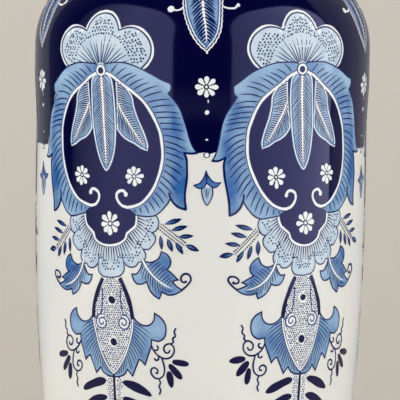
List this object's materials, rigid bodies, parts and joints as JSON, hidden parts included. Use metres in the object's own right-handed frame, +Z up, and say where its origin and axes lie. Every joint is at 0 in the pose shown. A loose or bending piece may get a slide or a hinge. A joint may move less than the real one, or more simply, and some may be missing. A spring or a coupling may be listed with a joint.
{
  "type": "talavera pottery vase",
  "caption": "Tall round vase of tin-glazed pottery with a high shoulder, short flared neck and foot ring, painted in blue with hanging flower panels.",
  "frame": {"origin": "on the axis of the vase, in the plane that the foot ring stands on", "axes": "+Z up along the axis of the vase; -Y faces the viewer, with one of the five ornaments between the panels turned to it"},
  "size_m": [0.1802, 0.18, 0.4383],
  "materials": {
    "bare_clay": "bare biscuit clay, matt and slightly gritty",
    "fired_clay": "biscuit clay under the glaze",
    "white_glaze": "glossy warm white tin glaze",
    "inside_glaze": "glossy plain white glaze",
    "dark_blue_glaze": "glossy blue-black cobalt ground",
    "blue_line_glaze": "glossy navy brush line",
    "pale_wash_glaze": "glossy pale blue wash",
    "mid_wash_glaze": "glossy middle blue wash",
    "deep_wash_glaze": "glossy deep blue wash",
    "white_line_glaze": "glossy cool white reserve line"
  },
  "bodies": {
    "root": {"foot_ring": "bare_clay", "lower_body": "fired_clay", "upper_body": "fired_clay", "neck": "fired_clay", "outer_glaze": "white_glaze", "inner_glaze": "inside_glaze", "underside_glaze": "inside_glaze"}
  },
  "joints": []
}
